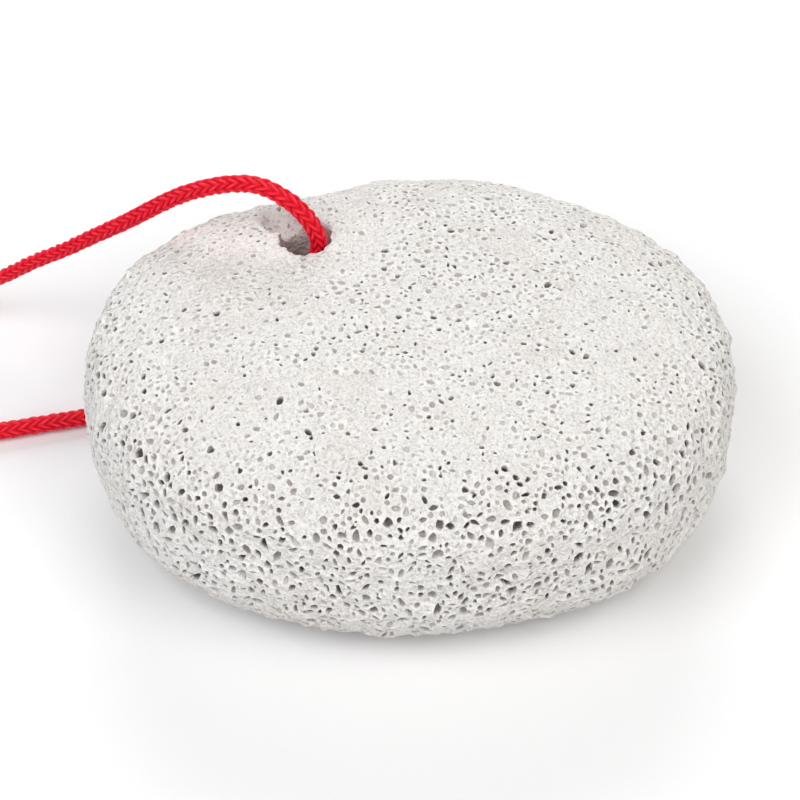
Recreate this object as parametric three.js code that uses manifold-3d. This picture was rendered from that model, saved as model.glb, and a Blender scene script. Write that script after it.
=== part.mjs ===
// A pumice stone for the feet: a flat oval pebble of pumice with a hole drilled near its back left edge,
// a red braided cord threaded through the hole as a hanging loop, and the knot that closes the loop.
// Millimetres, +Z up. The stone stands on Z = 0 with the middle of its bounding box on the Z axis,
// its long axis along X and its front towards -Y.
import * as THREE from "three";
import { mergeVertices } from "three/addons/utils/BufferGeometryUtils.js";
import Module from "manifold-3d";

const wasm = await Module();
wasm.setup();

// ---------------------------------------------------------------- driving dimensions

// The stone: half length, half width and height, and the height where it is widest.
const HALF_LENGTH = 49;
const HALF_WIDTH = 37;
const HEIGHT = 34.5;
const WAIST_HEIGHT = 19.7;
// Powers of the oval outline and of the side's upper and lower halves: 2 is an ellipse, more is boxier.
const OUTLINE_POWER = 2.1;
const SIDE_POWER = 3.4;
// The underside lies a little forward of the top, and its lowest part is worn flat by this much.
const UNDERSIDE_SHIFT = { x: 0.8, y: -1.8 };
const WORN_FLAT = 0.8;
// Where the oval stands out (+) or is worn in (-): direction and spread in degrees, direction from +X.
const OUTLINE_SWELLS = [
  { direction: 0, amount: -1.6, spread: 28 },
  { direction: 45, amount: -0.5, spread: 28 },
  { direction: 75, amount: 1.2, spread: 20 },
  { direction: 116, amount: -1.8, spread: 13 },
  { direction: 135, amount: -0.7, spread: 28 },
  { direction: 180, amount: -1.3, spread: 28 },
  { direction: 225, amount: 1.7, spread: 28 },
  { direction: 270, amount: 1.9, spread: 28 },
  { direction: 315, amount: 1.1, spread: 28 },
];
// The unevenness of the whole surface: how high its lumps stand, and how long they are.
const LUMP_HEIGHT = 0.3;
const LUMP_LENGTH = 6.5;
// The underside is hollowed where the cord runs out from under the stone, mostly along X.
const CORD_HOLLOW = { x: -24, y: 16.5, along: 15, across: 9, depth: 3.2 };
const STONE_DETAIL = 15;

// The drilled hole, and how its two mouths are worn open: how much wider, how deep, and at what height.
const HOLE = { x: -15.4, y: 17.3, radius: 3.8 };
const TOP_MOUTH = { wider: 0.7, depth: 1.8, height: 34.1 };
const BOTTOM_MOUTH = { wider: 3, depth: 5, height: 2.6 };
const MOUTH_STEPS = 4;
const HOLE_SIDES = 28;
// How far the shape that cuts the hole runs past the stone.
const TOOL_CLEARANCE = 10;
// The chip at the back left of the top mouth.
const MOUTH_CHIP = { x: -19, y: 21.2, z: 34.7, radius: 4.2, flatten: 0.55 };

// The cord, and the run of its middle from halfway up the hole, out of the top, round and back in below.
const CORD_RADIUS = 1.4;
const CORD_SIDES = 8;
const CORD_STEPS = 78;
const CORD_ROUTE = [
  [-15.8, 17.5, 17.2],
  [-15.2, 17.2, 22.5],
  [-14.2, 16.9, 27.5],
  [-13.65, 16.6, 31.5],
  [-13.5, 16.4, 34.3],
  [-14.7, 16.7, 37.4],
  [-17.5, 17.6, 40.4],
  [-21.9, 19.1, 42.2],
  [-26.4, 20.6, 41.3],
  [-33.4, 22.9, 37.4],
  [-43.1, 26.2, 28.8],
  [-48.0, 27.9, 24.6],
  [-53.1, 29.7, 20.1],
  [-58.2, 31.4, 16.1],
  [-63.5, 33.2, 11.4],
  [-70.3, 35.2, 6.3],
  [-77.3, 36.8, 2.9],
  [-85.5, 37.6, 1.6],
  [-94.5, 36.9, 1.5],
  [-102.3, 34.2, 1.6],
  [-107.8, 30.3, 2.5],
  [-110.4, 25.4, 3.5],
  [-110.5, 20.5, 3.5],
  [-110.4, 15.6, 3.5],
  [-107.8, 10.6, 2.5],
  [-102.5, 6.4, 1.6],
  [-95.0, 4.0, 1.5],
  [-85.0, 3.7, 1.45],
  [-73.0, 6.4, 1.45],
  [-62.2, 9.0, 1.45],
  [-49.9, 11.9, 1.45],
  [-39.0, 14.2, 1.45],
  [-29.0, 16.0, 1.45],
  [-22.6, 16.9, 1.5],
  [-19.0, 17.3, 2.5],
  [-16.8, 17.5, 4.8],
  [-15.9, 17.5, 8.0],
  [-15.8, 17.5, 12.2],
  [-15.8, 17.5, 16.9],
];

// The knot, a flattened ball round the cord, and the two cut ends that stand out of it.
const KNOT = { x: -110.5, y: 20.5, z: 3.5, across: 4.7, along: 5.2, up: 3.4 };
const KNOT_BORE = CORD_RADIUS + 0.5;
const TAIL_RADIUS = 1.3;
const TAIL_STEPS = 5;
const TAIL_ROUTES = [
  [
    [-113.0, 22.0, 3.3],
    [-115.6, 25.0, 2.4],
    [-118.0, 29.5, 1.5],
  ],
  [
    [-113.0, 19.0, 3.3],
    [-116.2, 17.0, 2.4],
    [-120.5, 14.2, 1.5],
  ],
];

// ---------------------------------------------------------------- materials

const PUMICE = new THREE.MeshStandardMaterial({ color: 0xe9e6e2, roughness: 0.95, metalness: 0 });
const RED_BRAID = new THREE.MeshStandardMaterial({ color: 0xd3122c, roughness: 0.7, metalness: 0 });

// ---------------------------------------------------------------- helpers

// A closed geometry as a solid that can be cut and joined.
function solidOf(geometry) {
  const bare = geometry.clone();
  bare.deleteAttribute("normal");
  bare.deleteAttribute("uv");
  const merged = mergeVertices(bare, 1e-4);
  return new wasm.Manifold(
    new wasm.Mesh({
      numProp: 3,
      vertProperties: merged.attributes.position.array,
      triVerts: new Uint32Array(merged.index.array),
    }),
  );
}

function geometryOf(solid) {
  const mesh = solid.getMesh();
  const geometry = new THREE.BufferGeometry();
  geometry.setAttribute("position", new THREE.BufferAttribute(mesh.vertProperties, 3));
  geometry.setIndex(new THREE.BufferAttribute(mesh.triVerts, 1));
  geometry.computeVertexNormals();
  return geometry;
}

function namedMesh(name, geometry, material) {
  const mesh = new THREE.Mesh(geometry, material);
  mesh.name = name;
  return mesh;
}

// A round bar that follows a list of points.
function barAlong(points, radius, sides, steps) {
  const section = new THREE.Shape();
  for (let i = 0; i < sides; i++) {
    const turn = ((i + 0.5) / sides) * 2 * Math.PI;
    const corner = [radius * Math.cos(turn), radius * Math.sin(turn)];
    if (i === 0) section.moveTo(...corner);
    else section.lineTo(...corner);
  }
  section.closePath();
  const path = new THREE.CatmullRomCurve3(points.map((p) => new THREE.Vector3(...p)));
  return new THREE.ExtrudeGeometry(section, { steps, extrudePath: path, bevelEnabled: false });
}

// ---------------------------------------------------------------- the stone

// How far the oval outline reaches in one direction.
function outlineReach(direction) {
  const along = Math.abs(Math.cos(direction) / HALF_LENGTH) ** OUTLINE_POWER;
  const across = Math.abs(Math.sin(direction) / HALF_WIDTH) ** OUTLINE_POWER;
  let reach = (along + across) ** (-1 / OUTLINE_POWER);
  for (const swell of OUTLINE_SWELLS) {
    const away = THREE.MathUtils.radToDeg(direction) - swell.direction;
    const nearest = ((((away + 180) % 360) + 360) % 360) - 180;
    reach += swell.amount * Math.exp(-((nearest / swell.spread) ** 2));
  }
  return reach;
}

// The point of the pebble that lies in a direction given as a point on the unit sphere.
function pebblePoint(unit) {
  const out = Math.hypot(unit.x, unit.y);
  const stretch = (out ** SIDE_POWER + Math.abs(unit.z) ** SIDE_POWER) ** (-1 / SIDE_POWER);
  const direction = Math.atan2(unit.y, unit.x);
  const reach = outlineReach(direction) * stretch * out;
  const rise = stretch * Math.abs(unit.z);
  const low = unit.z < 0 ? rise ** 2 : 0;
  const point = new THREE.Vector3(
    reach * Math.cos(direction) + UNDERSIDE_SHIFT.x * low,
    reach * Math.sin(direction) + UNDERSIDE_SHIFT.y * low,
    unit.z > 0
      ? WAIST_HEIGHT + (HEIGHT - WAIST_HEIGHT) * rise
      : WAIST_HEIGHT - (WAIST_HEIGHT + WORN_FLAT) * rise,
  );
  return point.addScaledVector(outwards(point), lump(point));
}

// Roughly the direction that the surface faces.
function outwards(point) {
  return new THREE.Vector3(
    point.x / HALF_LENGTH ** 2,
    point.y / HALF_WIDTH ** 2,
    (point.z - WAIST_HEIGHT) / (HEIGHT / 2) ** 2,
  ).normalize();
}

function lump(point) {
  const { x, y, z } = point.clone().divideScalar(LUMP_LENGTH);
  const waves = [x + 0.7 * y, 1.2 * y - 0.9 * z + 1.3, 1.3 * z + 0.8 * x + 2.1].map(Math.sin);
  return LUMP_HEIGHT * ((waves[0] + waves[1] + waves[2]) / 3);
}

// The underside lifted over the cord's way out, and the lowest part worn flat on Z = 0.
function wornUnderside(point) {
  if (point.z < WAIST_HEIGHT) {
    const along = (point.x - CORD_HOLLOW.x) / CORD_HOLLOW.along;
    const across = (point.y - CORD_HOLLOW.y) / CORD_HOLLOW.across;
    const lift = CORD_HOLLOW.depth * Math.exp(-(along ** 2) - across ** 2);
    point.z = Math.max(point.z, 0) + lift * (1 - Math.max(point.z, 0) / WAIST_HEIGHT);
  }
  return point;
}

function pebbleGeometry() {
  const ball = new THREE.IcosahedronGeometry(1, STONE_DETAIL);
  ball.deleteAttribute("normal");
  ball.deleteAttribute("uv");
  const geometry = mergeVertices(ball, 1e-5);
  const place = geometry.attributes.position;
  for (let i = 0; i < place.count; i++) {
    const unit = new THREE.Vector3().fromBufferAttribute(place, i).normalize();
    const point = wornUnderside(pebblePoint(unit));
    place.setXYZ(i, point.x, point.y, point.z);
  }
  geometry.computeBoundingBox();
  const middle = geometry.boundingBox.getCenter(new THREE.Vector3());
  geometry.translate(-middle.x, -middle.y, -geometry.boundingBox.min.z);
  return geometry;
}

// One mouth of the hole, from where the wall leaves the straight bore out to the surface.
function mouthProfile(mouth, inwards) {
  const profile = [];
  for (let i = 0; i <= MOUTH_STEPS; i++) {
    const turn = (i / MOUTH_STEPS) * (Math.PI / 2);
    const radius = HOLE.radius + mouth.wider * (1 - Math.cos(turn));
    const height = mouth.height + inwards * mouth.depth * (1 - Math.sin(turn));
    profile.push(new THREE.Vector2(radius, height));
  }
  return profile;
}

function holeTool() {
  const below = mouthProfile(BOTTOM_MOUTH, 1).reverse();
  const above = mouthProfile(TOP_MOUTH, -1);
  const profile = [
    new THREE.Vector2(0, -TOOL_CLEARANCE),
    new THREE.Vector2(below[0].x, -TOOL_CLEARANCE),
    ...below,
    ...above,
    new THREE.Vector2(above[above.length - 1].x, HEIGHT + TOOL_CLEARANCE),
    new THREE.Vector2(0, HEIGHT + TOOL_CLEARANCE),
  ];
  const tool = new THREE.LatheGeometry(profile, HOLE_SIDES);
  tool.rotateX(Math.PI / 2);
  tool.translate(HOLE.x, HOLE.y, 0);
  return tool;
}

function chipTool() {
  const tool = new THREE.SphereGeometry(MOUTH_CHIP.radius, 20, 12);
  tool.scale(1, 1, MOUTH_CHIP.flatten);
  tool.translate(MOUTH_CHIP.x, MOUTH_CHIP.y, MOUTH_CHIP.z);
  return tool;
}

function pumiceStone() {
  const drilled = solidOf(pebbleGeometry()).subtract(solidOf(holeTool()));
  return geometryOf(drilled.subtract(solidOf(chipTool())));
}

// ---------------------------------------------------------------- the cord and its knot

function cord() {
  return barAlong(CORD_ROUTE, CORD_RADIUS, CORD_SIDES, CORD_STEPS);
}

function knotBall() {
  const ball = new THREE.SphereGeometry(1, 24, 14);
  ball.scale(KNOT.across, KNOT.along, KNOT.up);
  ball.translate(KNOT.x, KNOT.y, KNOT.z);
  return ball;
}

// The way through the knot for the cord, which runs along Y here.
function knotBore() {
  const bore = new THREE.CylinderGeometry(KNOT_BORE, KNOT_BORE, 4 * KNOT.along, 16);
  bore.translate(KNOT.x, KNOT.y, KNOT.z);
  return bore;
}

function knot() {
  let solid = solidOf(knotBall());
  for (const route of TAIL_ROUTES) {
    solid = solid.add(solidOf(barAlong(route, TAIL_RADIUS, CORD_SIDES, TAIL_STEPS)));
  }
  return geometryOf(solid.subtract(solidOf(knotBore())));
}

// ---------------------------------------------------------------- the whole object

const object = new THREE.Group();
object.add(namedMesh("pumice_stone", pumiceStone(), PUMICE));
object.add(namedMesh("cord", cord(), RED_BRAID));
object.add(namedMesh("knot", knot(), RED_BRAID));

export default object;
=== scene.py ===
"""A pumice stone for the feet, with its pores, its drilled hole and its red hanging cord."""
import math

import bpy
import numpy as np
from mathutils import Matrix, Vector
from mathutils.geometry import delaunay_2d_cdt


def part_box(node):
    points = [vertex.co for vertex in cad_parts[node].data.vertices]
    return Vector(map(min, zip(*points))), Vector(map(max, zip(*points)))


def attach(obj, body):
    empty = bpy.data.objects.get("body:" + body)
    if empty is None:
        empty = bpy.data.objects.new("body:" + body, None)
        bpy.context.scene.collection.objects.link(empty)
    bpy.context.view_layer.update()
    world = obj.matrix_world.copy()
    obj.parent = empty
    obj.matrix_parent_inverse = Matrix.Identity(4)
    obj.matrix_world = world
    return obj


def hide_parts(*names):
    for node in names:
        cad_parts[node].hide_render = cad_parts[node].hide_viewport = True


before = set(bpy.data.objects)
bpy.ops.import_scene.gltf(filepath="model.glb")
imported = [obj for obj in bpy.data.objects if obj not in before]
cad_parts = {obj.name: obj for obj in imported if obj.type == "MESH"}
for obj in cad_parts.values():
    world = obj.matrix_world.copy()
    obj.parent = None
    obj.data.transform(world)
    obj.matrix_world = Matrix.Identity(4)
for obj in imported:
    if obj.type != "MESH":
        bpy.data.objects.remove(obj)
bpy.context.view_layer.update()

MM = 0.001

# ---------------------------------------------------------------- the camera

CAMERA_ELEVATION = math.radians(45.0)
CAMERA_DISTANCE = 0.450
CAMERA_LENS = 136.4
# Where the camera aims, measured from the middle of the stone's box, in metres.
AIM_FROM_STONE = Vector((-0.00147, 0.00138, -0.00166))


def stone_middle():
    low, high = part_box("pumice_stone")
    return (low + high) / 2


def make_camera():
    data = bpy.data.cameras.new("camera")
    data.lens = CAMERA_LENS
    data.sensor_width = 36.0
    data.clip_start = 0.01
    camera = bpy.data.objects.new("camera", data)
    bpy.context.scene.collection.objects.link(camera)
    back = Vector((0.0, -math.cos(CAMERA_ELEVATION), math.sin(CAMERA_ELEVATION)))
    camera.location = stone_middle() + AIM_FROM_STONE + back * CAMERA_DISTANCE
    camera.rotation_mode = "QUATERNION"
    camera.rotation_quaternion = (-back).to_track_quat("-Z", "Y")
    bpy.context.scene.camera = camera


# ---------------------------------------------------------------- the cord and its knot

# The middle of the cord from halfway up the hole, out of the top, round and back in below, in metres.
CORD_ROUTE = (
    (-0.0158, 0.0175, 0.0172),
    (-0.0152, 0.0172, 0.0225),
    (-0.0142, 0.0169, 0.0275),
    (-0.01365, 0.0166, 0.0315),
    (-0.0135, 0.0164, 0.0343),
    (-0.0147, 0.0167, 0.0374),
    (-0.0175, 0.0176, 0.0404),
    (-0.0219, 0.0191, 0.0422),
    (-0.0264, 0.0206, 0.0413),
    (-0.0334, 0.0229, 0.0374),
    (-0.0431, 0.0262, 0.0288),
    (-0.0480, 0.0279, 0.0246),
    (-0.0531, 0.0297, 0.0201),
    (-0.0582, 0.0314, 0.0161),
    (-0.0635, 0.0332, 0.0114),
    (-0.0703, 0.0352, 0.0063),
    (-0.0773, 0.0368, 0.0029),
    (-0.0855, 0.0376, 0.0016),
    (-0.0945, 0.0369, 0.0015),
    (-0.1023, 0.0342, 0.0016),
    (-0.1078, 0.0303, 0.0025),
    (-0.1104, 0.0254, 0.0035),
    (-0.1105, 0.0205, 0.0035),
    (-0.1104, 0.0156, 0.0035),
    (-0.1078, 0.0106, 0.0025),
    (-0.1025, 0.0064, 0.0016),
    (-0.0950, 0.0040, 0.0015),
    (-0.0850, 0.0037, 0.00145),
    (-0.0730, 0.0064, 0.00145),
    (-0.0622, 0.0090, 0.00145),
    (-0.0499, 0.0119, 0.00145),
    (-0.0390, 0.0142, 0.00145),
    (-0.0290, 0.0160, 0.00145),
    (-0.0226, 0.0169, 0.0015),
    (-0.0190, 0.0173, 0.0025),
    (-0.0168, 0.0175, 0.0048),
    (-0.0159, 0.0175, 0.0080),
    (-0.0158, 0.0175, 0.0122),
    (-0.0158, 0.0175, 0.0169),
)
# How far along the cord its radius changes, as a share of its length, and the radius there.
CORD_RADII = (
    (0.00, 0.00140),
    (0.10, 0.00143),
    (0.20, 0.00138),
    (0.27, 0.00122),
    (0.40, 0.00124),
    (0.52, 0.00118),
    (0.62, 0.00130),
    (0.80, 0.00142),
    (1.00, 0.00140),
)
# The braid: ridges of stitches round the cord, the length of a stitch, how steeply its legs rise,
# and how deep the grooves are.
BRAID_COLUMNS = 4
STITCH = 0.00155
LEG_RISE = 1.05
GROOVE = 0.00050
RING_SIDES = 44
RING_STEP = 0.00014
TWIST_PER_METRE = 18.0
# How many rings the run's kinks are eased out over, and how far the rounded tip of a cut end stands out.
EASE_REACH = 6
TIP_LENGTH = 0.0004
# How much wider and flatter the cord is where it lies down, the height of its middle at which that
# begins, and how far below that it is complete.
LYING_SPREAD = 0.06
LYING_HEIGHT = 0.0030
LYING_EASE = 0.0012
# The knot: how many times its strand goes round the cord, how far apart those wraps are, the strand's
# radius and step, and the middle, half width and half height of the wraps.
KNOT_TURNS = 2.75
KNOT_PITCH = 0.00245
KNOT_STRAND_RADIUS = 0.00115
KNOT_STEP = 0.00016
KNOT_MIDDLE = (-0.1105, 0.0205, 0.0035)
KNOT_HALF_WIDTH = 0.00275
KNOT_HALF_HEIGHT = 0.00230
# The two cut tails, in from the first end and out to the last.
TAIL_IN = ((-0.1178, 0.0294, 0.0013), (-0.1160, 0.0269, 0.0016), (-0.1143, 0.0251, 0.0026))
TAIL_OUT = ((-0.1146, 0.0168, 0.0026), (-0.1170, 0.0160, 0.0016), (-0.1203, 0.0142, 0.0013))


def smooth_run(route, step):
    """Points a step apart on a smooth curve through a route."""
    points = np.array(route, float)
    points = np.vstack([2 * points[0] - points[1], points, 2 * points[-1] - points[-2]])
    knots = np.concatenate([[0.0], np.cumsum(np.linalg.norm(np.diff(points, axis=0), axis=1) ** 0.5)])
    run = []
    for i in range(1, len(points) - 2):
        t0, t1, t2, t3 = knots[i - 1 : i + 3]
        t = np.linspace(t1, t2, 60, endpoint=False)[:, None]
        a1 = (t1 - t) / (t1 - t0) * points[i - 1] + (t - t0) / (t1 - t0) * points[i]
        a2 = (t2 - t) / (t2 - t1) * points[i] + (t - t1) / (t2 - t1) * points[i + 1]
        a3 = (t3 - t) / (t3 - t2) * points[i + 1] + (t - t2) / (t3 - t2) * points[i + 2]
        b1 = (t2 - t) / (t2 - t0) * a1 + (t - t0) / (t2 - t0) * a2
        b2 = (t3 - t) / (t3 - t1) * a2 + (t - t1) / (t3 - t1) * a3
        run.append((t2 - t) / (t2 - t1) * b1 + (t - t1) / (t2 - t1) * b2)
    run = np.vstack(run + [points[-2:-1]])
    return even_run(run, step)


def even_run(run, step):
    """The run again, with its points a step apart."""
    along = np.concatenate([[0.0], np.cumsum(np.linalg.norm(np.diff(run, axis=0), axis=1))])
    places = np.linspace(0.0, along[-1], max(2, int(round(along[-1] / step)) + 1))
    return np.stack([np.interp(places, along, run[:, i]) for i in range(3)], axis=1)


def eased_run(run, reach):
    """The run with its small kinks eased out over a reach of so many points, its ends kept."""
    offsets = np.arange(-2 * reach, 2 * reach + 1)
    weights = np.exp(-((offsets / reach) ** 2))
    weights /= weights.sum()
    before = 2 * run[0] - run[1 : 2 * reach + 1][::-1]
    after = 2 * run[-1] - run[-2 * reach - 1 : -1][::-1]
    long = np.vstack([before, run, after])
    return np.stack([np.convolve(long[:, i], weights, mode="valid") for i in range(3)], axis=1)


def frames_along(run):
    """For each point of a run its direction and two unit vectors across it that never twist."""
    ahead = np.gradient(run, axis=0)
    ahead /= np.linalg.norm(ahead, axis=1)[:, None]
    side = np.cross(ahead[0], (0.0, 0.0, 1.0))
    if np.linalg.norm(side) < 0.1:
        side = np.cross(ahead[0], (0.0, 1.0, 0.0))
    sides = np.zeros_like(run)
    for i, direction in enumerate(ahead):
        side = side - direction * (side @ direction)
        side = side / np.linalg.norm(side)
        sides[i] = side
    return ahead, sides, np.cross(ahead, sides)


def braid_relief(turn, along):
    """How high the braid stands, from 0 in a groove to 1, and how far across its yarn a place is.

    Each column of the braid is a row of V-shaped stitches. The sines along the cord make them a little
    uneven, as in a real one.
    """
    column = turn / (2 * math.pi) * BRAID_COLUMNS
    from_middle = 2 * np.abs(column - np.floor(column) - 0.5)
    uneven = np.sin(2300 * along + 2.1 * np.floor(column)) + np.sin(1370 * along + 1.3 * column)
    stitch = along / STITCH + LEG_RISE * from_middle + 0.035 * uneven
    across = 2 * (stitch - np.floor(stitch)) - 1
    round_yarn = np.clip(1 - across**2, 0, 1) ** 1.2
    dive = np.sin(math.pi * np.clip(from_middle, 0.02, 0.98)) ** 0.6
    full = 0.93 + 0.07 * np.sin(1710 * along + 2.6 * np.floor(column))
    return round_yarn * full * (0.35 + 0.65 * dive), across


def braided_tube(name, run, radii, twist_per_metre=0.0, flatten=None):
    """A closed braided tube along a run, with the yarn's own coordinates kept as attributes."""
    ahead, across, up = frames_along(run)
    along = np.concatenate([[0.0], np.cumsum(np.linalg.norm(np.diff(run, axis=0), axis=1))])
    turns = np.linspace(0.0, 2 * math.pi, RING_SIDES, endpoint=False)
    turn, place = np.meshgrid(turns, along)
    relief, yarn_across = braid_relief(turn + twist_per_metre * place, place)
    radius = radii[:, None] - GROOVE * (1 - relief)
    offset = radius[..., None] * (
        np.cos(turn)[..., None] * across[:, None] + np.sin(turn)[..., None] * up[:, None]
    )
    if flatten is not None:
        offset[..., 2] *= (1 - flatten)[:, None]
        offset[..., :2] *= (1 + flatten)[:, None, None]
    rings = run[:, None] + offset
    count, sides = len(run), RING_SIDES
    tips = [run[0] - ahead[0] * TIP_LENGTH, run[-1] + ahead[-1] * TIP_LENGTH]
    vertices = np.vstack([rings.reshape(-1, 3), *tips])
    index = np.arange(count * sides).reshape(count, sides)
    following = np.roll(index, -1, axis=1)
    walls = np.stack([index[:-1], following[:-1], following[1:], index[1:]], axis=-1).reshape(-1, 4)
    first, last = count * sides, count * sides + 1
    faces = [tuple(face) for face in walls.tolist()]
    faces += [(first, b, a) for a, b in zip(index[0].tolist(), following[0].tolist())]
    faces += [(last, a, b) for a, b in zip(index[-1].tolist(), following[-1].tolist())]
    mesh = bpy.data.meshes.new(name)
    mesh.from_pydata(vertices.tolist(), [], faces)
    point_attribute(mesh, "yarn_across", np.append(yarn_across.ravel(), [0.0, 0.0]))
    point_attribute(mesh, "yarn_along", np.append((place / STITCH).ravel(), [0.0, 0.0]))
    point_attribute(mesh, "yarn_height", np.append(relief.ravel(), [0.0, 0.0]))
    mesh.shade_smooth()
    piece = bpy.data.objects.new(name, mesh)
    bpy.context.scene.collection.objects.link(piece)
    return piece


def point_attribute(mesh, name, values):
    """Keep a value for each of the mesh's corners under a name that a material can read."""
    attribute = mesh.attributes.new(name, "FLOAT", "POINT")
    attribute.data.foreach_set("value", np.asarray(values, np.float32))


def knot_run():
    """The strand that wraps the cord: in from one cut end, round it, and out to the other."""
    turns = np.linspace(0.0, KNOT_TURNS, 45)[::3]
    angle = math.pi + 2 * math.pi * (turns - KNOT_TURNS / 2) + math.pi * 0.75
    wraps = np.stack(
        [
            KNOT_MIDDLE[0] + KNOT_HALF_WIDTH * np.cos(angle),
            KNOT_MIDDLE[1] - KNOT_PITCH * (turns - KNOT_TURNS / 2),
            KNOT_MIDDLE[2] + KNOT_HALF_HEIGHT * np.sin(angle),
        ],
        axis=1,
    )
    return smooth_run([*TAIL_IN, *wraps.tolist(), *TAIL_OUT], KNOT_STEP)


# ---------------------------------------------------------------- the stone's shape, in millimetres

HALF_LENGTH = 49.0
HALF_WIDTH = 37.0
HEIGHT = 34.5
WAIST_HEIGHT = 19.7
OUTLINE_POWER = 2.1
SIDE_POWER = 3.4
UNDERSIDE_SHIFT = (0.8, -1.8)
WORN_FLAT = 0.8
# Direction and spread in degrees, amount in millimetres: where the oval stands out or is worn in.
OUTLINE_SWELLS = (
    (0, -1.6, 28),
    (45, -0.5, 28),
    (75, 1.2, 20),
    (116, -1.8, 13),
    (135, -0.7, 28),
    (180, -1.3, 28),
    (225, 1.7, 28),
    (270, 1.9, 28),
    (315, 1.1, 28),
)
LUMP_HEIGHT = 0.3
LUMP_LENGTH = 6.5
CORD_HOLLOW = {"x": -24.0, "y": 16.5, "along": 15.0, "across": 9.0, "depth": 3.2}

HOLE = np.array((-15.4, 17.3))
HOLE_RADIUS = 3.8
MOUTH_SIDES = 60
POLE_SIDES = 24
# Angles down from the top near the hole's two mouths, from which their places in the map are found.
TOP_GUESS = 0.75
BOTTOM_GUESS = 2.4
# How far below the surface, and the hole's radius there, at the top mouth and at the bottom one.
TOP_MOUTH = ((0.0, 4.05), (0.25, 3.95), (0.7, 3.85), (1.4, 3.80))
BOTTOM_MOUTH = ((0.0, 6.7), (0.5, 5.7), (1.5, 4.8), (3.0, 4.1), (5.0, 3.8))
# The part of the mouth that is broken out behind the cord: its middle, the direction in degrees that it
# runs in, how far it reaches along and across that, its depth, and how soft the edge of its painted shade
# is.
MOUTH_CHIP = {
    "x": -19.6,
    "y": 23.0,
    "z": 34.3,
    "direction": 125.0,
    "long": 6.2,
    "wide": 3.9,
    "depth": 3.6,
    "edge": 0.35,
}

# The pores: least and greatest radius, its share on the worn faces and what it gains on the sides, how
# many are tried and how many more along the ledge, the share that is deep, and the corners of each ring
# from the rim inwards with the ring's share of the radius and of the depth.
PORE_KINDS = (
    {
        "radii": (0.54, 0.84),
        "grows": (0.76, 0.28),
        "tries": 2800,
        "on_ledge": 12,
        "deep": 0.42,
        "rings": ((9, 1.0, 0.0), (7, 0.72, 0.55), (4, 0.40, 0.94)),
    },
    {
        "radii": (0.36, 0.58),
        "grows": (0.76, 0.28),
        "tries": 13500,
        "on_ledge": 70,
        "deep": 0.62,
        "rings": ((7, 1.0, 0.0), (5, 0.66, 0.66)),
    },
    {
        "radii": (0.36, 0.64),
        "grows": (0.92, 0.14),
        "tries": 27000,
        "on_ledge": 30,
        "deep": 0.0,
        "rings": ((7, 1.0, 0.0), (4, 0.60, 0.74)),
    },
    {
        "radii": (0.20, 0.32),
        "grows": (0.76, 0.28),
        "tries": 2500,
        "on_ledge": 40,
        "deep": 0.6,
        "rings": ((6, 1.0, 0.0),),
    },
)
# The share of the tried pores that is kept on the worn faces, what it gains on the sides and loses on
# the underside, and how far the clusters sway it on the worn faces and, beyond that, on the sides.
KEPT_ON_FACES = 0.29
KEPT_GAIN = 0.56
KEPT_LOSS = 0.24
CLUSTER_SWAY = (0.34, 0.46)
# The least wall between two pores, and between a pore and a mouth of the hole.
PORE_WALL = 0.07
PORE_MARGIN = 0.1
# How much wider a pore is where the side turns under, and how much longer there and anywhere at most.
UNDER_WIDENS = 0.12
UNDER_STRETCHES = 0.22
PORE_STRETCH = 0.45
# As shares of a pore's radius: how far it leans in under its upper rim, how far that strays, the depth
# of the two, three and four bumps round it, and how far its corners stray at the rim and inside it.
PORE_LEAN = 0.36
LEAN_STRAY = 0.12
PORE_BUMPS = (0.17, 0.17, 0.10)
RIM_STRAY = 0.13
INNER_STRAY = 0.03
# The ground between the pores: how many corners are tried, how far apart they are on the top, low on the
# sides and on the underside, how clear of a pore's rim and of a mouth of the hole, and how far out from
# the top mouth the ring of corners round it is.
GROUND_TRIES = 90000
GROUND_SPACING = 0.95
EDGE_SPACING = 0.76
UNDER_SPACING = 1.5 * GROUND_SPACING
GROUND_CLEARANCE = 0.2
GROUND_MARGIN = 0.35
MOUTH_RING_GAP = 0.42
# The ledge at the front left, a row of broken pores: the directions it runs between in degrees, its
# height at each end, and how far its pores stray from it.
LEDGE_ENDS = (216.0, 250.0)
LEDGE_HEIGHTS = (11.0, 14.6)
LEDGE_SPREAD = 0.28
RANDOM_SEED = 29

# Rough surfaces, each as a few sizes of bump: how high it stands, how long it is, and its own seed.
PORE_CLUSTERS = ((1.0, 6.0, 3), (0.8, 2.6, 4))
MOUTH_BUMPS = ((0.38, 1.3, 11), (0.40, 0.6, 12))
LIP_BUMPS = ((0.22, 0.7, 13),)
BROAD_BUMPS = ((0.34, 3.4, 21),)
GRAIN_BUMPS = ((0.25, 1.7, 22), (0.18, 0.8, 23))
WALL_BUMPS = ((0.22, 1.5, 31), (0.12, 0.7, 32))
UNDER_BUMPS = ((0.26, 1.3, 41), (0.16, 0.75, 42))
CHIP_OUTLINE_BUMPS = ((0.25, 2.4, 51),)
CHIP_BUMPS = ((0.5, 1.7, 52), (0.35, 0.9, 53))
# This one makes the painted shade in the break uneven.
CHIP_TONE_BUMPS = ((0.25, 1.1, 54),)
# How far the lip of the top mouth is worn down, how browned the lip is, how deep the painted shade in the
# break is, for the cord's shadow and the shade inside it, and how browned the side is where it turns
# under.
LIP_DROP = 0.18
LIP_TINT = 0.35
CHIP_SHADE = 0.80
UNDER_TINT = 0.34


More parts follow.
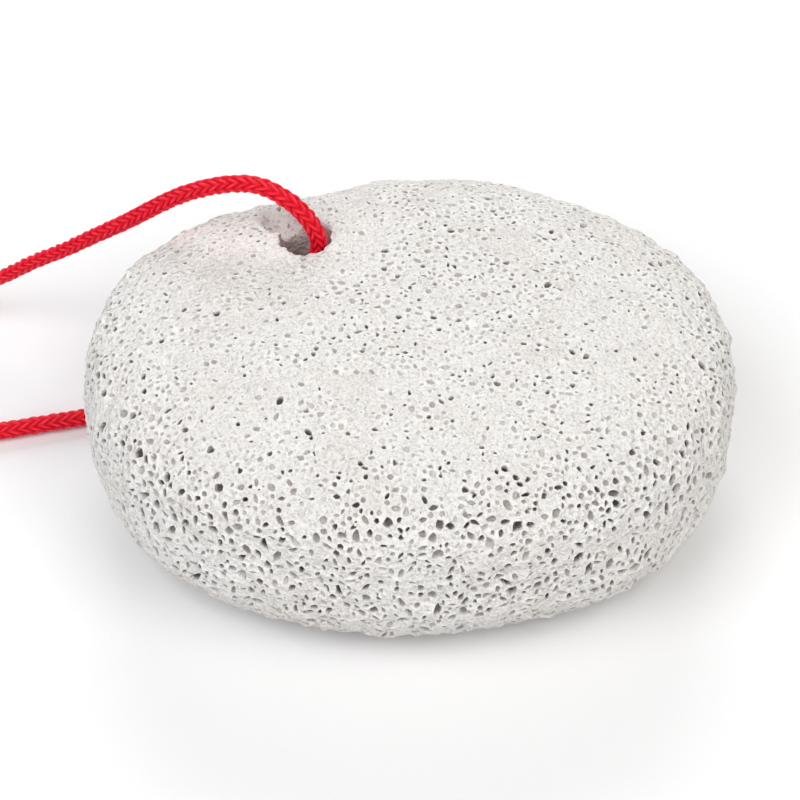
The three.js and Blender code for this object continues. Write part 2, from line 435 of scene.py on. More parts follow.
def outline_reach(direction):
    """How far out the oval reaches in each direction."""
    along = np.abs(np.cos(direction) / HALF_LENGTH) ** OUTLINE_POWER
    across = np.abs(np.sin(direction) / HALF_WIDTH) ** OUTLINE_POWER
    reach = (along + across) ** (-1 / OUTLINE_POWER)
    for swell, amount, spread in OUTLINE_SWELLS:
        away = (np.degrees(direction) - swell + 180) % 360 - 180
        reach = reach + amount * np.exp(-((away / spread) ** 2))
    return reach


def profile(fall):
    """The profile at an angle down from the top: its share of the reach, its rise, 1 above or -1 below."""
    out, high = np.sin(fall), np.cos(fall)
    stretch = (np.abs(out) ** SIDE_POWER + np.abs(high) ** SIDE_POWER) ** (-1 / SIDE_POWER)
    return stretch * out, stretch * np.abs(high), np.sign(high)


def pebble(fall, direction):
    """The plain pebble's points, for angles down from the top and round from +X."""
    share, rise, sign = profile(fall)
    reach = outline_reach(direction) * share
    low = np.where(sign < 0, rise**2, 0.0)
    x = reach * np.cos(direction) + UNDERSIDE_SHIFT[0] * low
    y = reach * np.sin(direction) + UNDERSIDE_SHIFT[1] * low
    above = WAIST_HEIGHT + (HEIGHT - WAIST_HEIGHT) * rise
    below = WAIST_HEIGHT - (WAIST_HEIGHT + WORN_FLAT) * rise
    points = np.stack([x, y, np.where(sign > 0, above, below)], axis=-1)
    facing = points - (0.0, 0.0, WAIST_HEIGHT)
    facing /= (HALF_LENGTH**2, HALF_WIDTH**2, (HEIGHT / 2) ** 2)
    facing /= np.linalg.norm(facing, axis=-1)[..., None]
    u, v, w = np.moveaxis(points / LUMP_LENGTH, -1, 0)
    waves = np.sin(u + 0.7 * v) + np.sin(1.2 * v - 0.9 * w + 1.3) + np.sin(1.3 * w + 0.8 * u + 2.1)
    points = points + facing * (LUMP_HEIGHT * waves / 3)[..., None]
    along = (points[..., 0] - CORD_HOLLOW["x"]) / CORD_HOLLOW["along"]
    across = (points[..., 1] - CORD_HOLLOW["y"]) / CORD_HOLLOW["across"]
    lift = CORD_HOLLOW["depth"] * np.exp(-(along**2) - across**2)
    floor = np.maximum(points[..., 2], 0.0)
    shade_and_tint = floor + lift * (1 - floor / WAIST_HEIGHT)
    points[..., 2] = np.where(points[..., 2] < WAIST_HEIGHT, shade_and_tint, points[..., 2])
    return points


class Chart:
    """A flat map of the pebble that nearly keeps angles: the top's middle is at its centre."""

    def __init__(self):
        self.last_fall = math.pi - 0.03
        near_top = np.geomspace(1e-5, 0.02, 400)[:-1]
        falls = np.concatenate([near_top, np.linspace(0.02, self.last_fall, 6000)])
        share, rise, sign = profile(falls)
        radius = math.sqrt(HALF_LENGTH * HALF_WIDTH) * share
        drop = np.where(sign > 0, HEIGHT - WAIST_HEIGHT, -WAIST_HEIGHT - WORN_FLAT) * rise
        steps = np.hypot(np.diff(radius), np.diff(drop))
        growth = np.concatenate([[0.0], np.cumsum(steps * 2 / (radius[1:] + radius[:-1]))])
        self.falls, self.logs = falls, growth - np.interp(math.pi / 2, falls, growth)
        self.area = np.concatenate([[0.0], np.cumsum(steps * (radius[1:] + radius[:-1]) / 2)])
        grid = pebble(*np.meshgrid(falls[::6], np.linspace(-math.pi, math.pi, 721)))
        low, high = grid.reshape(-1, 3).min(0), grid.reshape(-1, 3).max(0)
        box_low, box_high = (np.array(corner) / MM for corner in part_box("pumice_stone"))
        self.shift = (box_low + box_high - low - high) / 2
        self.shift[2] = box_low[2] - low[2]

    def flat(self, fall, direction):
        """The map's places for angles down from the top and round from +X."""
        radius = np.exp(np.interp(fall, self.falls, self.logs))
        return np.stack([radius * np.cos(direction), radius * np.sin(direction)], axis=-1)

    def surface(self, flat):
        """The points on the plain pebble, where the CAD's stone is, for places in the map."""
        radius = np.maximum(np.hypot(flat[..., 0], flat[..., 1]), 1e-9)
        fall = np.interp(np.log(radius), self.logs, self.falls)
        return pebble(fall, np.arctan2(flat[..., 1], flat[..., 0])) + self.shift

    def slopes(self, flat):
        """The surface's two tangents for a step in the map, and its outward normal."""
        step = 2e-4 * np.maximum(np.hypot(flat[:, 0], flat[:, 1]), 0.02)
        tangents = []
        for axis in (0, 1):
            shift = np.zeros_like(flat)
            shift[:, axis] = step
            change = self.surface(flat + shift) - self.surface(flat - shift)
            tangents.append(change / (2 * step[:, None]))
        normal = np.cross(tangents[0], tangents[1])
        return tangents[0], tangents[1], normal / np.linalg.norm(normal, axis=1)[:, None]

    def find(self, target, flat):
        """The map's places whose X and Y on the stone are the target's, from a first guess."""
        for _ in range(12):
            error = target - self.surface(flat)[:, :2]
            first, second, _ = self.slopes(flat)
            matrix = np.stack([first[:, :2], second[:, :2]], axis=-1)
            flat = flat + np.linalg.solve(matrix, error[..., None])[..., 0]
        return flat


def lattice_noise(points, length, seed):
    """Smooth random values from -1 to 1 that change over a length."""
    scaled = points / length + 57.3
    cell = np.floor(scaled).astype(np.int64)
    part = scaled - cell
    part = part * part * (3 - 2 * part)
    total = np.zeros(len(points))
    for corner in np.ndindex(2, 2, 2):
        at = cell + corner
        mixed = at[:, 0] * 73856093 ^ at[:, 1] * 19349663 ^ at[:, 2] * 83492791 ^ seed * 2654435761
        mixed = (mixed ^ (mixed >> 13)) * 1274126177 & 0x7FFFFFFF
        mixed = (mixed ^ (mixed >> 15)) & 0xFFFFF
        weight = np.prod(np.where(np.array(corner), part, 1 - part), axis=1)
        total += weight * (mixed / 0x7FFFF - 1.0)
    return total


def bumps_at(points, bumps):
    """The sum of a surface's sizes of bump at each point."""
    return sum(height * lattice_noise(points, length, seed) for height, length, seed in bumps)


def circle(sides):
    """So many points on a circle of radius 1."""
    turns = np.linspace(0, 2 * math.pi, sides, endpoint=False)
    return np.stack([np.cos(turns), np.sin(turns)], axis=1)


class Spread:
    """Places on the stone that keep clear of each other, found again by the cell that they are in."""

    CELL = 1.9

    def __init__(self):
        self.cells = {}

    def is_clear(self, x, y, z, radius, gap):
        i, j, k = int(x // self.CELL), int(y // self.CELL), int(z // self.CELL)
        for a in (i - 1, i, i + 1):
            for b in (j - 1, j, j + 1):
                for c in (k - 1, k, k + 1):
                    for u, v, w, other, other_gap in self.cells.get((a, b, c), ()):
                        least = radius + other + max(gap, other_gap)
                        if (x - u) ** 2 + (y - v) ** 2 + (z - w) ** 2 < least * least:
                            return False
        return True

    def add(self, x, y, z, radius, gap):
        cell = (int(x // self.CELL), int(y // self.CELL), int(z // self.CELL))
        self.cells.setdefault(cell, []).append((x, y, z, radius, gap))


def random_places(chart, count, random):
    """Random places in the map, even over the stone's surface."""
    fall = np.interp(random.random(count) * chart.area[-1], chart.area, chart.falls)
    return chart.flat(fall, random.uniform(-math.pi, math.pi, count))


def upness(chart, flat):
    """How far the surface faces up at each place: 1 on the top, 0 on the sides, -1 below."""
    return chart.slopes(flat)[2][:, 2]


def sideness(up):
    """1 on the sides and just under them, falling to 0 on the rubbed top and underside."""
    return 1 - np.where(up > 0, np.clip((up - 0.70) / 0.28, 0, 1), np.clip((-up - 0.72) / 0.2, 0, 1))


def underness(up):
    """0 on the top and the upper part of the sides, rising to 1 where they turn under."""
    return np.clip((0.45 - up) / 0.6, 0, 1)


def near_mouth(points, extra):
    """Whether a place is inside either mouth of the hole, or nearer to its edge than extra."""
    away = np.hypot(points[:, 0] - HOLE[0], points[:, 1] - HOLE[1])
    edge = np.where(points[:, 2] > WAIST_HEIGHT, TOP_MOUTH[0][1], BOTTOM_MOUTH[0][1])
    return away < edge + extra


def clear_of_all(points, radius, keep, spread):
    """Which of the places to keep stay clear of all before them, and are now taken."""
    chosen = []
    for i in np.flatnonzero(keep):
        x, y, z = points[i]
        if spread.is_clear(x, y, z, radius[i], PORE_WALL):
            spread.add(x, y, z, radius[i], PORE_WALL)
            chosen.append(i)
    return np.array(chosen)


def place_pores(chart, random, spread):
    """The pores of each kind: where they are in the map, their radius, depth and darkness, which is
    painted shade, partly their own dirt.

    On the rubbed top and underside pores are fewer, smaller and fainter than on the sides.
    """
    kinds = []
    for kind in PORE_KINDS:
        strung = ledge_places(chart, kind["on_ledge"], random)
        flat = np.vstack([strung, random_places(chart, kind["tries"], random)])
        points = chart.surface(flat)
        up = upness(chart, flat)
        side = sideness(up)
        cluster = bumps_at(points, PORE_CLUSTERS)
        wanted = KEPT_ON_FACES + KEPT_GAIN * side - KEPT_LOSS * (up < -0.85)
        wanted = wanted + (CLUSTER_SWAY[0] + CLUSTER_SWAY[1] * side) * cluster
        wanted[: len(strung)] = 1.0
        low, high = kind["radii"]
        radius = low + (high - low) * random.random(len(flat)) ** 1.5
        radius *= kind["grows"][0] + kind["grows"][1] * side
        radius *= 1 + UNDER_WIDENS * underness(up)
        keep = (random.random(len(flat)) < wanted) & ~near_mouth(points, PORE_MARGIN + radius)
        chosen = clear_of_all(points, radius, keep, spread)
        side, radius = side[chosen], radius[chosen]
        deep = random.random(len(chosen)) < kind["deep"] * (0.72 + 0.28 * side)
        shallow_depth = radius * random.uniform(0.45, 1.05, len(chosen)) * (0.6 + 0.5 * side)
        deep_depth = radius * random.uniform(1.2, 2.2, len(chosen))
        deep_tone = random.uniform(0.55, 1.1, len(chosen))
        shallow_tone = random.uniform(0.10, 0.55, len(chosen)) * (0.65 + 0.35 * side)
        kinds.append(
            {
                "rings": kind["rings"],
                "flat": flat[chosen],
                "radius": radius,
                "depth": np.where(deep, deep_depth, shallow_depth),
                "dark": np.where(deep, deep_tone, shallow_tone),
            }
        )
    return kinds


def pore_axes(chart, flat):
    """East, north and the normal at each pore, and the step in the map for a step east and north."""
    first, second, normal = chart.slopes(flat)
    east = first / np.linalg.norm(first, axis=1)[:, None]
    north = np.cross(normal, east)
    across = np.stack([(first * east).sum(1), (second * east).sum(1)], axis=1)
    along = np.stack([(first * north).sum(1), (second * north).sum(1)], axis=1)
    return east, north, normal, np.linalg.inv(np.stack([across, along], axis=1))


def pore_points(chart, pores, random):
    """The corners of one kind of pore: their place in the map, their depth, how far in, and how dark with
    painted shade.

    A pore is longest up the slope, more so where the side turns under. Its inner rings, which carry the
    painted shade, slip up and back, so that its deepest and darkest part lies under its upper rim.
    """
    count = len(pores["flat"])
    radius = pores["radius"][:, None]
    east, north, normal, to_flat = pore_axes(chart, pores["flat"])
    uphill = np.arctan2(north[:, 2], east[:, 2])
    lean = uphill + random.normal(0.0, 0.6 + 2.0 * np.abs(normal[:, 2]))
    cos_lean, sin_lean = np.cos(lean)[:, None], np.sin(lean)[:, None]
    stretch = 1 + PORE_STRETCH * random.random(count) ** 1.5
    stretch = (stretch + UNDER_STRETCHES * underness(normal[:, 2]))[:, None]
    bumps = random.uniform(-1, 1, (count, 3)) * PORE_BUMPS
    phases = random.uniform(0, 2 * math.pi, (count, 3))
    up_and_back = np.stack([east[:, 1] + east[:, 2], north[:, 1] + north[:, 2]], axis=1)
    up_and_back /= np.linalg.norm(up_and_back, axis=1)[:, None] + 1e-9
    slip = (PORE_LEAN * up_and_back + random.uniform(-LEAN_STRAY, LEAN_STRAY, (count, 2))) * radius
    flats, depths, inners = [], [], []
    for corners, share, depth_share in pores["rings"]:
        turn = np.linspace(0, 2 * math.pi, corners, endpoint=False) + random.uniform(0, 6.3, (count, 1))
        turn = turn + random.uniform(-0.16, 0.16, (count, corners))
        reach = 1 + sum(bumps[:, [i]] * np.cos((i + 2) * turn + phases[:, [i]]) for i in range(3))
        stray = RIM_STRAY if depth_share == 0 else INNER_STRAY
        reach = reach * radius * share * (1 + random.uniform(-stray, stray, turn.shape))
        along, across = reach * np.cos(turn) * stretch, reach * np.sin(turn) / stretch
        east_by = along * cos_lean - across * sin_lean + slip[:, [0]] * (1 - share)
        north_by = along * sin_lean + across * cos_lean + slip[:, [1]] * (1 - share)
        by = np.stack([east_by, north_by], axis=-1)
        corner = pores["flat"][:, None] + np.einsum("nij,nkj->nki", to_flat, by)
        depth = pores["depth"][:, None] * depth_share * random.uniform(0.88, 1.12, turn.shape)
        flats.append(corner.reshape(-1, 2))
        depths.append(depth.ravel())
        inners.append(np.full(turn.size, depth_share))
    flats.append(pores["flat"] + np.einsum("nij,nj->ni", to_flat, slip))
    depths.append(pores["depth"])
    inners.append(np.ones(count))
    darks = [np.repeat(pores["dark"], corners) for corners, _, _ in pores["rings"]] + [pores["dark"]]
    tones = np.stack([np.concatenate(inners), np.concatenate(darks)], axis=1)
    return np.vstack(flats), np.concatenate(depths), tones


def ground_points(chart, random, spread):
    """Places between the pores, closer together low on the sides, and a ring round the top mouth."""
    flat = random_places(chart, GROUND_TRIES, random)
    points = chart.surface(flat)
    up = upness(chart, flat)
    at_edge = (up < -0.15) & (up > -0.9)
    spacing = np.where(at_edge, EDGE_SPACING, np.where(up < -0.9, UNDER_SPACING, GROUND_SPACING))
    chosen = []
    for i in np.flatnonzero(~near_mouth(points, GROUND_MARGIN)):
        x, y, z = points[i]
        if spread.is_clear(x, y, z, 0.0, GROUND_CLEARANCE):
            spread.add(x, y, z, 0.5 * spacing[i] - GROUND_CLEARANCE, GROUND_CLEARANCE)
            chosen.append(i)
    around = HOLE + (TOP_MOUTH[0][1] + MOUTH_RING_GAP) * circle(MOUTH_SIDES)
    guess = chart.flat(np.full(len(around), TOP_GUESS), np.arctan2(around[:, 1], around[:, 0]))
    return np.vstack([flat[chosen], chart.find(around, guess)])


def mouth_rings(chart):
    """The edge of each mouth of the hole in the map, the top's and the bottom's."""
    ring = circle(MOUTH_SIDES)
    rings = []
    for mouth, first_fall in ((TOP_MOUTH, TOP_GUESS), (BOTTOM_MOUTH, BOTTOM_GUESS)):
        edge = np.column_stack([ring * mouth[0][1], np.zeros(MOUTH_SIDES)])
        target = HOLE + ring * (mouth[0][1] + bumps_at(edge, MOUTH_BUMPS))[:, None]
        guess = chart.flat(np.full(MOUTH_SIDES, first_fall), np.arctan2(target[:, 1], target[:, 0]))
        rings.append(chart.find(target, guess))
    return rings


def chipped(points):
    """Points on the top lowered where the mouth is broken out, and how far into the break each is."""
    turn = math.radians(MOUTH_CHIP["direction"])
    x, y = points[:, 0] - MOUTH_CHIP["x"], points[:, 1] - MOUTH_CHIP["y"]
    along = (x * math.cos(turn) + y * math.sin(turn)) / MOUTH_CHIP["long"]
    across = (y * math.cos(turn) - x * math.sin(turn)) / MOUTH_CHIP["wide"]
    away = np.hypot(along, across) / (1 + bumps_at(points, CHIP_OUTLINE_BUMPS))
    bottom = MOUTH_CHIP["z"] - MOUTH_CHIP["depth"] * np.sqrt(np.clip(1 - away**2, 0, 1))
    bottom = bottom + bumps_at(points, CHIP_BUMPS)
    on_top = points[:, 2] > WAIST_HEIGHT
    lowered = np.where((away < 1) & on_top, np.minimum(points[:, 2], bottom), points[:, 2])
    points = np.column_stack([points[:, :2], lowered])
    return points, np.clip((1 - away) / MOUTH_CHIP["edge"], 0, 1) * on_top


def crumble(points, up):
    """How far the rubbed grain stands out of the plain pebble: most on the sides and under them."""
    under = np.clip((-up - 0.15) / 0.35, 0, 1) * np.clip((up + 0.97) / 0.1, 0, 1)
    grain = bumps_at(points, GRAIN_BUMPS) * (0.65 + 0.55 * sideness(up))
    return bumps_at(points, BROAD_BUMPS) + grain + under * bumps_at(points, UNDER_BUMPS)


def ledge_places(chart, count, random):
    """Places in the map strung along the ledge at the front left."""
    directions = np.radians(random.uniform(*LEDGE_ENDS, count))
    heights = np.interp(np.degrees(directions), LEDGE_ENDS, LEDGE_HEIGHTS)
    heights = heights + random.normal(0.0, LEDGE_SPREAD, count)
    falls = np.linspace(1.2, 2.9, 300)
    found = []
    for direction, height in zip(directions, heights):
        levels = pebble(falls, np.full(len(falls), direction))[:, 2] + chart.shift[2]
        found.append(np.interp(-height, -levels, falls))
    return chart.flat(np.array(found), directions)


def hole_wall(top, bottom):
    """The rings of the hole's wall between the edges of its two mouths."""
    turns = np.arctan2(top[:, 1] - HOLE[1], top[:, 0] - HOLE[0])
    ring = np.stack([np.cos(turns), np.sin(turns)], axis=1)
    last_top, last_bottom = top[:, 2] - TOP_MOUTH[-1][0], bottom[:, 2] + BOTTOM_MOUTH[-1][0]
    # The rings are closest together near the top, where the hole is seen into.
    shares = np.concatenate([np.linspace(0, 0.3, 14)[1:], np.linspace(0.3, 1.0, 16)[1:-1]])
    rings = [(top[:, 2] - depth, radius) for depth, radius in TOP_MOUTH[1:]]
    rings += [(last_top + (last_bottom - last_top) * share, HOLE_RADIUS) for share in shares]
    rings += [(bottom[:, 2] + depth, radius) for depth, radius in BOTTOM_MOUTH[:0:-1]]
    points = []
    for height, radius in rings:
        place = np.column_stack([HOLE + ring * radius, height])
        place[:, :2] += ring * bumps_at(place, WALL_BUMPS)[:, None]
        points.append(place)
    return points


def ring_edges(first, corners, count=1):
    """The edges of so many closed rings of corners, numbered one after the other."""
    index = first + np.arange(corners * count).reshape(count, corners)
    return np.stack([index, np.roll(index, -1, axis=1)], axis=-1).reshape(-1, 2).tolist()


def plain_tones(count):
    """The two values of a corner outside the pores: -1 for how far in it is, and no painted shade."""
    return np.tile((-1.0, 0.0), (count, 1))


def ground_depths(chart, ground, random):
    """How deep each corner of the ground is: uneven, with a dimple at about one in three."""
    dimples = (random.random(len(ground)) < 0.35) * random.uniform(0.1, 0.34, len(ground))
    uneven = 0.5 + 0.5 * sideness(upness(chart, ground))
    return uneven * (dimples + random.uniform(-0.07, 0.05, len(ground)))


def stone_layout(chart, random):
    """Every corner in the map, its depth, how far in and how dark with painted shade, the edges to keep,
    the mouths.
    """
    spread = Spread()
    kinds = place_pores(chart, random, spread)
    last_turns = np.linspace(0, 2 * math.pi, POLE_SIDES, endpoint=False)
    flats = [*mouth_rings(chart), chart.flat(np.full(POLE_SIDES, chart.last_fall), last_turns)]
    mouths = flats[:2]
    edges = ring_edges(0, MOUTH_SIDES, 2)
    plain = sum(map(len, flats))
    depths, tones = [np.zeros(plain)], [plain_tones(plain)]
    for pores in kinds:
        flat, depth, tone = pore_points(chart, pores, random)
        edges += ring_edges(sum(map(len, flats)), pores["rings"][0][0], len(pores["flat"]))
        flats.append(flat)
        depths.append(depth)
        tones.append(tone)
    ground = ground_points(chart, random, spread)
    flats.append(ground)
    depths.append(ground_depths(chart, ground, random))
    tones.append(plain_tones(len(ground)))
    return np.vstack(flats), np.concatenate(depths), np.vstack(tones), edges, mouths


def inside_ring(places, ring):
    """Which places lie inside a closed ring of corners."""
    inside = np.zeros(len(places), bool)
    near = np.flatnonzero(
        (places[:, 0] > ring[:, 0].min())
        & (places[:, 0] < ring[:, 0].max())
        & (places[:, 1] > ring[:, 1].min())
        & (places[:, 1] < ring[:, 1].max())
    )
    x, y = places[near].T
    crossings = np.zeros(len(near), int)
    for (x1, y1), (x2, y2) in zip(ring, np.roll(ring, -1, axis=0)):
        spans = (y1 > y) != (y2 > y)
        at = x1 + (y - y1) / np.where(y2 == y1, 1.0, y2 - y1) * (x2 - x1)
        crossings += spans & (x < at)
    inside[near] = crossings % 2 == 1
    return inside


def triangulated(flat, depth, tone, edges, mouths):
    """The layout joined up by triangles, with a corner added wherever two rims cross."""
    places = [Vector(place) for place in flat.tolist()]
    found, _, triangles, origins, *_ = delaunay_2d_cdt(places, edges, [], 0, 1e-9, True)
    crossings = [i for i, ids in enumerate(origins) if not ids]
    own = np.array([ids[0] if ids else -1 for ids in origins])
    own[crossings] = len(flat) + np.arange(len(crossings))
    if crossings:
        flat = np.vstack([flat, [tuple(found[i]) for i in crossings]])
    depth = np.append(depth, np.zeros(len(crossings)))
    tone = np.vstack([tone, np.tile((0.0, 0.5), (len(crossings), 1))])
    triangles = own[np.array(triangles)]
    middle = flat[triangles].mean(1)
    gone = inside_ring(middle, mouths[0]) | inside_ring(middle, mouths[1])
    return flat, depth, tone, triangles[~gone]


def joined_rows(rows):
    """The triangles between closed rows of corners, each row joined to the next."""
    walls = []
    for upper, lower in zip(rows[:-1], rows[1:]):
        after_upper, after_lower = np.roll(upper, -1), np.roll(lower, -1)
        walls.append(np.stack([upper, after_upper, lower], axis=1))
        walls.append(np.stack([after_upper, after_lower, lower], axis=1))
    return np.vstack(walls)


def stone_skin(chart, flat, depth):
    """The stone's outside: its corners, and for each from 0 to 1 its painted shade in the break of the top
    mouth or its brown tint at the lip and where the side turns under.
    """
    normal = chart.slopes(flat)[2]
    points = chart.surface(flat)
    points = points + normal * (crumble(points, normal[:, 2]) - depth)[:, None]
    # Painted shade in the break of the mouth, for the cord's shadow and the shade inside it, made uneven.
    points, shade_and_tint = chipped(points)
    shade_and_tint *= CHIP_SHADE + bumps_at(points, CHIP_TONE_BUMPS)
    points[:, 2] = np.maximum(points[:, 2], 0.0)
    lip = points[:MOUTH_SIDES]
    lip[:, 2] -= LIP_DROP + bumps_at(lip, LIP_BUMPS)
    # A brown tint where the side turns under and at the lip of the top mouth.
    shade_and_tint = np.maximum(shade_and_tint, UNDER_TINT * np.clip((-normal[:, 2] - 0.1) / 0.4, 0, 1))
    shade_and_tint[:MOUTH_SIDES] = np.maximum(shade_and_tint[:MOUTH_SIDES], LIP_TINT)
    return points, shade_and_tint


def stone_mesh():
    """The stone's corners in metres, its triangles, and for each corner its three tones."""
    chart = Chart()
    random = np.random.default_rng(RANDOM_SEED)
    flat, depth, tone, triangles = triangulated(*stone_layout(chart, random))
    points, shade_and_tint = stone_skin(chart, flat, depth)
    wall = hole_wall(points[:MOUTH_SIDES], points[MOUTH_SIDES : 2 * MOUTH_SIDES])
    count = len(points)
    rows = [np.arange(MOUTH_SIDES)]
    rows += [count + i * MOUTH_SIDES + np.arange(MOUTH_SIDES) for i in range(len(wall))]
    rows += [MOUTH_SIDES + np.arange(MOUTH_SIDES)]
    pole = count + len(wall) * MOUTH_SIDES
    last = 2 * MOUTH_SIDES + np.arange(POLE_SIDES)
    fan = np.stack([last, np.full(POLE_SIDES, pole), np.roll(last, -1)], axis=1)
    vertices = np.vstack([points, *wall, points[last].mean(0)[None]]) * MM
    extra = len(vertices) - count
    tone = np.vstack([tone, plain_tones(extra)])
    # Every corner of the hole's wall gets full painted shade, and the middle of the underside the same
    # full tint.
    tone = np.column_stack([tone, np.append(shade_and_tint, np.ones(extra))])
    return vertices, np.vstack([triangles, joined_rows(rows), fan]), tone


def make_stone():
    vertices, triangles, tone = stone_mesh()
    mesh = bpy.data.meshes.new("pumice_surface")
    mesh.from_pydata(vertices.tolist(), [], triangles.tolist())
    point_attribute(mesh, "pore_inner", tone[:, 0])
    point_attribute(mesh, "pore_shade_and_dirt", tone[:, 1])
    point_attribute(mesh, "shade_and_tint", tone[:, 2])
    mesh.shade_smooth()
    mesh.set_sharp_from_angle(angle=math.radians(28))
    stone = bpy.data.objects.new("pumice_surface", mesh)
    bpy.context.scene.collection.objects.link(stone)
    return stone


# ---------------------------------------------------------------- materials


class Nodes:
    """A material's nodes, made and linked in short lines."""

    def __init__(self, name):
        self.material = bpy.data.materials.new(name)
        self.material.use_nodes = True
        self.tree = self.material.node_tree
        self.shader = self.tree.nodes["Principled BSDF"]

    def add(self, kind, inputs=None, **settings):
        node = self.tree.nodes.new(kind)
        for key, value in settings.items():
            setattr(node, key, value)
        for key, value in (inputs or {}).items():
            if isinstance(value, bpy.types.NodeSocket):
                self.tree.links.new(value, node.inputs[key])
            else:
                node.inputs[key].default_value = value
        return node

    def attribute(self, name):
        return self.add("ShaderNodeAttribute", attribute_name=name).outputs["Fac"]

    def link(self, output, key):
        self.tree.links.new(output, self.shader.inputs[key])

    def ramp(self, value, stops):
        node = self.add("ShaderNodeValToRGB", {"Fac": value})
        elements = node.color_ramp.elements
        while len(elements) < len(stops):
            elements.new(0.5)
        for element, (position, colour) in zip(elements, stops):
            element.position = position
            element.color = (*colour, 1.0)
        return node.outputs["Color"]

    def mix(self, factor, first, second, blend="MIX"):
        node = self.add("ShaderNodeMix", data_type="RGBA", blend_type=blend)
        for key, value in ((0, factor), (6, first), (7, second)):
            if isinstance(value, bpy.types.NodeSocket):
                self.tree.links.new(value, node.inputs[key])
            else:
                node.inputs[key].default_value = value if key == 0 else (*value, 1.0)
        return node.outputs[2]

    def maths(self, operation, first, second=0.0):
        node = self.add("ShaderNodeMath", {0: first, 1: second}, operation=operation)
        return node.outputs[0]


# Each ramp is a run of places along it, from 0 to 1, with the colour at each.
GROUND_RAMP = ((0.3, (0.825, 0.795, 0.77)), (0.5, (0.865, 0.845, 0.825)), (0.7, (0.88, 0.87, 0.855)))
GRAIN_RAMP = ((0.34, (0.62, 0.60, 0.58)), (0.48, (0.96, 0.96, 0.96)), (0.6, (1.0, 1.0, 1.0)))
# Painted shade, partly the pores' own dirt: the colour inside a pore by how dark it is painted.
PORE_SHADE_RAMP = (
    (0.0, (0.78, 0.75, 0.725)),
    (0.2, (0.58, 0.545, 0.515)),
    (0.5, (0.36, 0.32, 0.295)),
    (1.0, (0.15, 0.12, 0.105)),
)
# Painted highlight on the rims of the pores.
RIM_HIGHLIGHT_COLOUR = (0.96, 0.95, 0.935)
# Painted shade in the hole and its break, and a brown tint at the lip and under the sides.
SHADE_AND_TINT_COLOUR = (0.46, 0.41, 0.39)
# Painted shade and highlight on the cord: dark red in the braid's grooves, lighter on its crests.
YARN_SHADE_AND_HIGHLIGHT_RAMP = (
    (0.15, (0.34, 0.0, 0.002)),
    (0.5, (0.72, 0.001, 0.009)),
    (0.8, (0.94, 0.010, 0.044)),
    (1.0, (1.0, 0.06, 0.105)),
)


def pumice_colour(nodes, place, grain, shade_and_tint):
    """Pale patched ground with a fine grain, painted highlights on the pores' rims, painted shade in the
    pores by depth (partly their own dirt) and in the hole and its break, and a browner tint at the lip and
    under the sides.
    """
    inner = nodes.attribute("pore_inner")
    patches = nodes.add("ShaderNodeTexNoise", {"Vector": place, "Scale": 90.0, "Detail": 3.0})
    ground = nodes.ramp(patches.outputs["Fac"], GROUND_RAMP)
    ground = nodes.mix(0.6, ground, nodes.ramp(grain, GRAIN_RAMP), "MULTIPLY")
    # Painted highlight: the rims of the pores are lightened.
    rim = nodes.maths("POWER", nodes.maths("SUBTRACT", 1.0, nodes.maths("ABSOLUTE", inner)), 3.0)
    ground = nodes.mix(nodes.maths("MULTIPLY", rim, 0.6), ground, RIM_HIGHLIGHT_COLOUR)
    # Painted shade, partly the pores' own dirt: inside a pore the colour darkens inwards.
    hollow = nodes.ramp(nodes.attribute("pore_shade_and_dirt"), PORE_SHADE_RAMP)
    inside = nodes.add("ShaderNodeMapRange", {"Value": inner, "From Min": 0.03, "From Max": 0.58})
    colour = nodes.mix(inside.outputs["Result"], ground, hollow)
    # Painted shade in the hole and its break, and a brown tint at the lip and under the sides.
    return nodes.mix(nodes.maths("MULTIPLY", shade_and_tint, 0.75), colour, SHADE_AND_TINT_COLOUR)


def pumice_material():
    nodes = Nodes("pumice")
    place = nodes.add("ShaderNodeTexCoord").outputs["Object"]
    shade_and_tint = nodes.attribute("shade_and_tint")
    fine = {"Vector": place, "Scale": 2300.0, "Detail": 2.0, "Roughness": 0.6}
    grain = nodes.add("ShaderNodeTexNoise", fine).outputs["Fac"]
    nodes.link(pumice_colour(nodes, place, grain, shade_and_tint), "Base Color")
    nodes.shader.inputs["Roughness"].default_value = 0.95
    nodes.shader.inputs["Specular IOR Level"].default_value = 0.2
    crumbs = {"Vector": place, "Scale": 1250.0, "Smoothness": 0.5}
    lumps = nodes.add("ShaderNodeTexVoronoi", crumbs, feature="SMOOTH_F1").outputs["Distance"]
    height = nodes.maths("SUBTRACT", grain, nodes.maths("MULTIPLY", lumps, 0.8))
    strength = nodes.maths("SUBTRACT", 0.9, nodes.maths("MULTIPLY", shade_and_tint, 0.35))
    bump = nodes.add("ShaderNodeBump", {"Height": height, "Strength": strength, "Distance": 0.0006})
    nodes.link(bump.outputs["Normal"], "Normal")
    return nodes.material


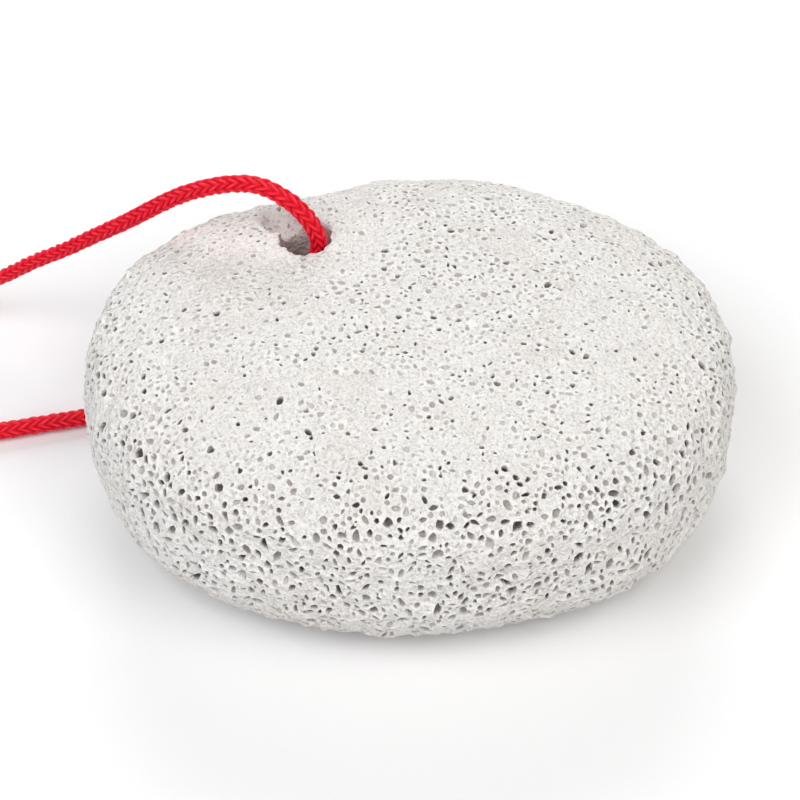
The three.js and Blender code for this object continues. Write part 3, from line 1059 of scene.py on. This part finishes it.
def cord_material():
    nodes = Nodes("red_braid")
    across = nodes.maths("MULTIPLY", nodes.attribute("yarn_across"), 9.0)
    along = nodes.attribute("yarn_along")
    fibre_place = nodes.add("ShaderNodeCombineXYZ", {"X": across, "Y": along}).outputs[0]
    fibre_noise = {"Vector": fibre_place, "Scale": 1.6, "Detail": 3.0}
    fibres = nodes.add("ShaderNodeTexNoise", fibre_noise).outputs["Fac"]
    # Painted shade and highlight: the yarn is darker in the braid's grooves and lighter on its crests,
    # streaked by its fibres.
    high = nodes.maths("MULTIPLY", nodes.attribute("yarn_height"), 0.75)
    shade = nodes.maths("ADD", nodes.maths("MULTIPLY", fibres, 0.5), high)
    nodes.link(nodes.ramp(shade, YARN_SHADE_AND_HIGHLIGHT_RAMP), "Base Color")
    nodes.shader.inputs["Roughness"].default_value = 0.36
    nodes.shader.inputs["Specular IOR Level"].default_value = 0.2
    bump = nodes.add("ShaderNodeBump", {"Height": fibres, "Strength": 0.5, "Distance": 0.00012})
    nodes.link(bump.outputs["Normal"], "Normal")
    return nodes.material


# ---------------------------------------------------------------- floor and light


FLOOR_HALF = 2.0
FLOOR_COLOUR = (0.89, 0.89, 0.90, 1)
# Each light's name, its place, its power in watts and its colour.
LIGHTS = (
    ("back_light", (0.0, 0.80, 0.50), 4.8, (1.0, 1.0, 1.0)),
    ("front_left_light", (-0.45, -0.35, 0.75), 4.3, (0.965, 0.985, 1.0)),
    ("front_right_light", (0.45, -0.35, 0.75), 3.7, (1.0, 0.970, 0.915)),
    ("front_fill", (0.0, -0.75, 0.60), 2.2, (1.0, 1.0, 1.0)),
)
LIGHT_SIZE = 0.6
SKY_STRENGTH = 0.18


def make_floor():
    mesh = bpy.data.meshes.new("floor")
    corners = [(x * FLOOR_HALF, y * FLOOR_HALF, 0) for x, y in ((-1, -1), (1, -1), (1, 1), (-1, 1))]
    mesh.from_pydata(corners, [], [(0, 1, 2, 3)])
    floor = bpy.data.objects.new("floor", mesh)
    bpy.context.scene.collection.objects.link(floor)
    nodes = Nodes("pale_floor")
    nodes.shader.inputs["Base Color"].default_value = FLOOR_COLOUR
    nodes.shader.inputs["Roughness"].default_value = 0.8
    nodes.shader.inputs["Specular IOR Level"].default_value = 0.2
    mesh.materials.append(nodes.material)


def area_light(name, place, power, colour):
    data = bpy.data.lights.new(name, "AREA")
    data.shape = "SQUARE"
    data.size = LIGHT_SIZE
    data.energy = power
    data.color = colour
    light = bpy.data.objects.new(name, data)
    light.location = place
    light.rotation_mode = "QUATERNION"
    light.rotation_quaternion = (stone_middle() - Vector(place)).to_track_quat("-Z", "Y")
    bpy.context.scene.collection.objects.link(light)


def make_light():
    for light in LIGHTS:
        area_light(*light)
    world = bpy.data.worlds.new("world")
    world.use_nodes = True
    world.node_tree.nodes["Background"].inputs["Color"].default_value = (1.0, 1.0, 1.0, 1)
    world.node_tree.nodes["Background"].inputs["Strength"].default_value = SKY_STRENGTH
    bpy.context.scene.world = world
    bpy.context.scene.view_settings.view_transform = "Standard"


# ---------------------------------------------------------------- the scene


def make_knot(material):
    strand = knot_run()
    knot = braided_tube("tied_knot", strand, np.full(len(strand), KNOT_STRAND_RADIUS))
    knot.data.materials.append(material)
    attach(knot, "root")
    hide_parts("knot")
    return knot


def make_cord(material):
    run = eased_run(smooth_run(CORD_ROUTE, RING_STEP), EASE_REACH)
    share = np.linspace(0, 1, len(run))
    radii = np.interp(share, *zip(*CORD_RADII))
    flatten = LYING_SPREAD * np.clip((LYING_HEIGHT - run[:, 2]) / LYING_EASE, 0, 1)
    cord = braided_tube("braided_cord", run, radii, twist_per_metre=TWIST_PER_METRE, flatten=flatten)
    cord.data.materials.append(material)
    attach(cord, "root")
    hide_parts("cord")
    make_knot(material)


make_camera()
make_cord(cord_material())
stone = make_stone()
stone.data.materials.append(pumice_material())
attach(stone, "root")
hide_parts("pumice_stone")
make_floor()
make_light()
